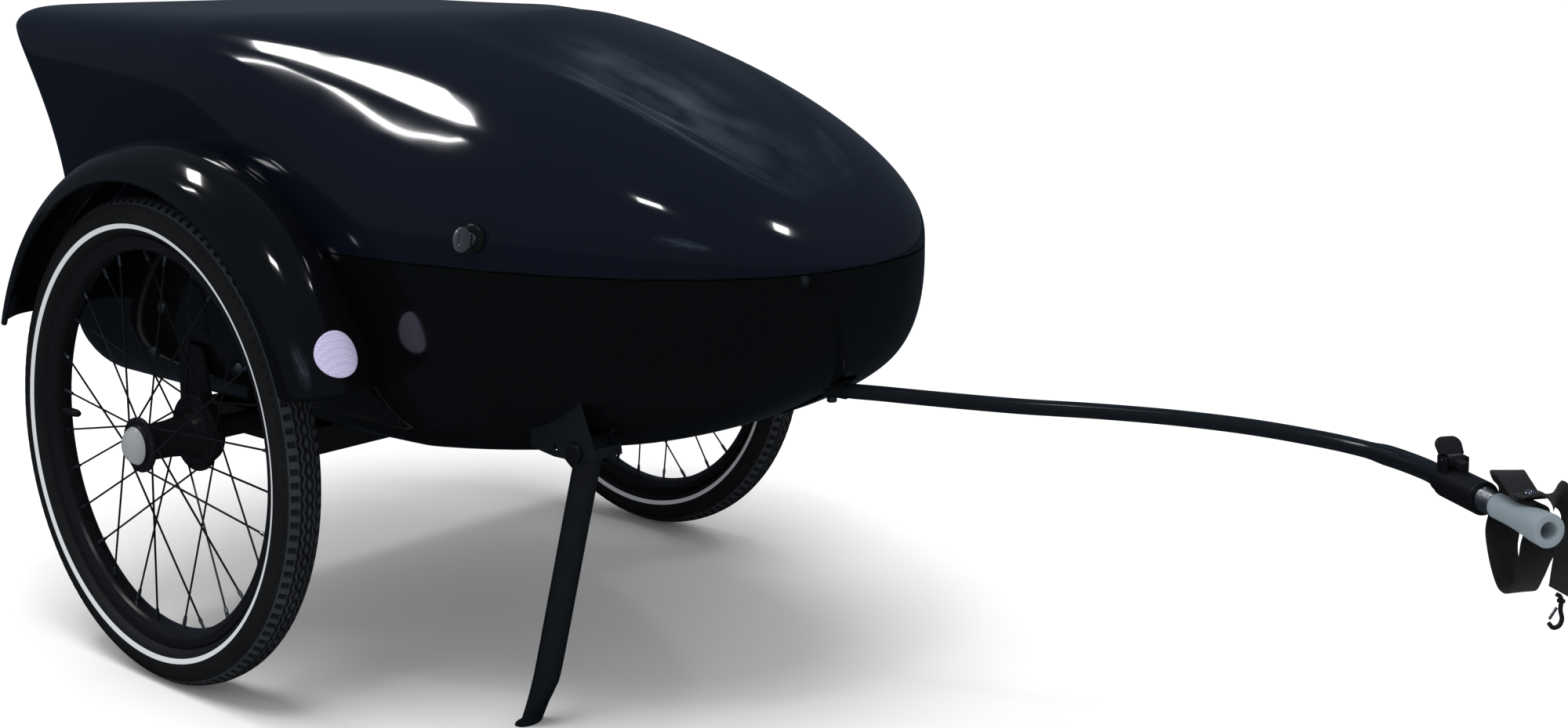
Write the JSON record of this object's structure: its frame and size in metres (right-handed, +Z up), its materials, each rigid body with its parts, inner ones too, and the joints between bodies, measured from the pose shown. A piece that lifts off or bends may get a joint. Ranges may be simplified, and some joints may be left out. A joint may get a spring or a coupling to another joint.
{
  "type": "bicycle cargo trailer",
  "caption": "Two-wheeled bicycle cargo trailer: hinged streamlined hard lid on a boat-shaped tub, mudguards, fold-down stand and bent tow bar with flexible coupling.",
  "frame": {"origin": "on the ground, under the middle of the trailer's length and width", "axes": "+X forward to the bicycle, +Y to the trailer's left, +Z up"},
  "size_m": [1.694, 0.771, 0.6805],
  "materials": {
    "navy_shell": "gloss",
    "black_shell": "gloss",
    "frame_paint": "satin",
    "bar_paint": "gloss",
    "stand_paint": "satin",
    "black_steel": "satin",
    "zinc": "satin",
    "steel": "polished",
    "chrome": "polished",
    "black_alloy": "satin",
    "bright_alloy": "satin",
    "tyre": "matte",
    "rubber": "matte",
    "grey_rubber": "satin",
    "webbing": "matte",
    "black_plastic": "satin",
    "grey_plastic": "satin",
    "key_plastic": "satin",
    "reflector": "gloss"
  },
  "bodies": {
    "chassis": {"tub": "black_shell", "tub_seal": "rubber", "hinge_tub_left": "zinc", "hinge_tub_right": "zinc", "lock_strike": "zinc", "axle_frame": "frame_paint", "spine_tube": "frame_paint", "spine_saddle": "zinc", "bar_clamp_bolt": "zinc", "side_bolt_right_1": "zinc", "side_bolt_right_2": "zinc", "side_bolt_right_3": "zinc", "side_bolt_left_1": "zinc", "side_bolt_left_2": "zinc", "side_bolt_left_3": "zinc", "mudguard_right": "black_shell", "mudguard_left": "black_shell", "reflector_right": "reflector", "reflector_left": "reflector", "stub_axle_right": "steel", "stub_axle_left": "steel", "axle_nut_right": "zinc", "axle_nut_left": "zinc", "stand_bracket": "stand_paint", "stand_bolt": "black_steel", "stand_nut": "zinc", "tow_bar": "bar_paint", "hitch_socket": "black_steel", "latch_pin": "steel", "coupling_ferrule": "bright_alloy", "coupling_sleeve": "grey_rubber", "safety_strap": "webbing", "strap_tail": "webbing", "strap_rivet": "chrome", "snap_hook": "black_plastic"},
    "lid": {"lid": "navy_shell", "hinge_lid_left": "zinc", "hinge_lid_right": "zinc", "lock_barrel": "black_steel", "lock_nut": "zinc"},
    "lock_core": {"lock_plug": "chrome", "key": "key_plastic", "lock_cam": "zinc"},
    "wheel_right": {"tyre_right": "tyre", "rim_right": "black_alloy", "inner_tube_right": "rubber", "hub_right": "black_alloy", "bearing_outer_right": "steel", "bearing_inner_right": "steel", "hub_cap_right": "grey_plastic"},
    "wheel_left": {"tyre_left": "tyre", "rim_left": "black_alloy", "inner_tube_left": "rubber", "hub_left": "black_alloy", "bearing_outer_left": "steel", "bearing_inner_left": "steel", "hub_cap_left": "grey_plastic"},
    "stand": {"stand_leg": "stand_paint"},
    "latch": {"latch_lever": "black_plastic"},
    "gate": {"hook_gate": "steel"}
  },
  "joints": [
    {"name": "lid_hinge", "type": "hinge", "parent": "chassis", "child": "lid", "pos_m": [-0.73296, 0, 0.4555], "axis": [0, -1, 0], "range_deg": [0, 80]},
    {"name": "lock_turn", "type": "hinge", "parent": "lid", "child": "lock_core", "pos_m": [-0.05796, -0.25618, 0.484], "axis": [-0.2434, 0.9651, -0.0967], "range_deg": [0, 90]},
    {"name": "wheel_right_spin", "type": "hinge", "parent": "chassis", "child": "wheel_right", "pos_m": [-0.44096, -0.345, 0.25], "axis": [0, 1, 0], "continuous": true},
    {"name": "wheel_left_spin", "type": "hinge", "parent": "chassis", "child": "wheel_left", "pos_m": [-0.44096, 0.345, 0.25], "axis": [0, 1, 0], "continuous": true},
    {"name": "stand_fold", "type": "hinge", "parent": "chassis", "child": "stand", "pos_m": [0.02004, -0.189, 0.288], "axis": [0, 1, 0], "range_deg": [0, 55]},
    {"name": "latch_press", "type": "hinge", "parent": "chassis", "child": "latch", "pos_m": [0.73394, 0.06453, 0.3495], "axis": [-0.5934, -0.8049, 0], "range_deg": [0, 25], "stiffness_Nm_per_rad": 0.04, "springref_deg": -28.65},
    {"name": "gate_press", "type": "hinge", "parent": "chassis", "child": "gate", "pos_m": [0.83747, 0.0061, 0.27], "axis": [0.8049, -0.5934, 0], "range_deg": [0, 25], "stiffness_Nm_per_rad": 0.0008, "springref_deg": -28.65}
  ]
}
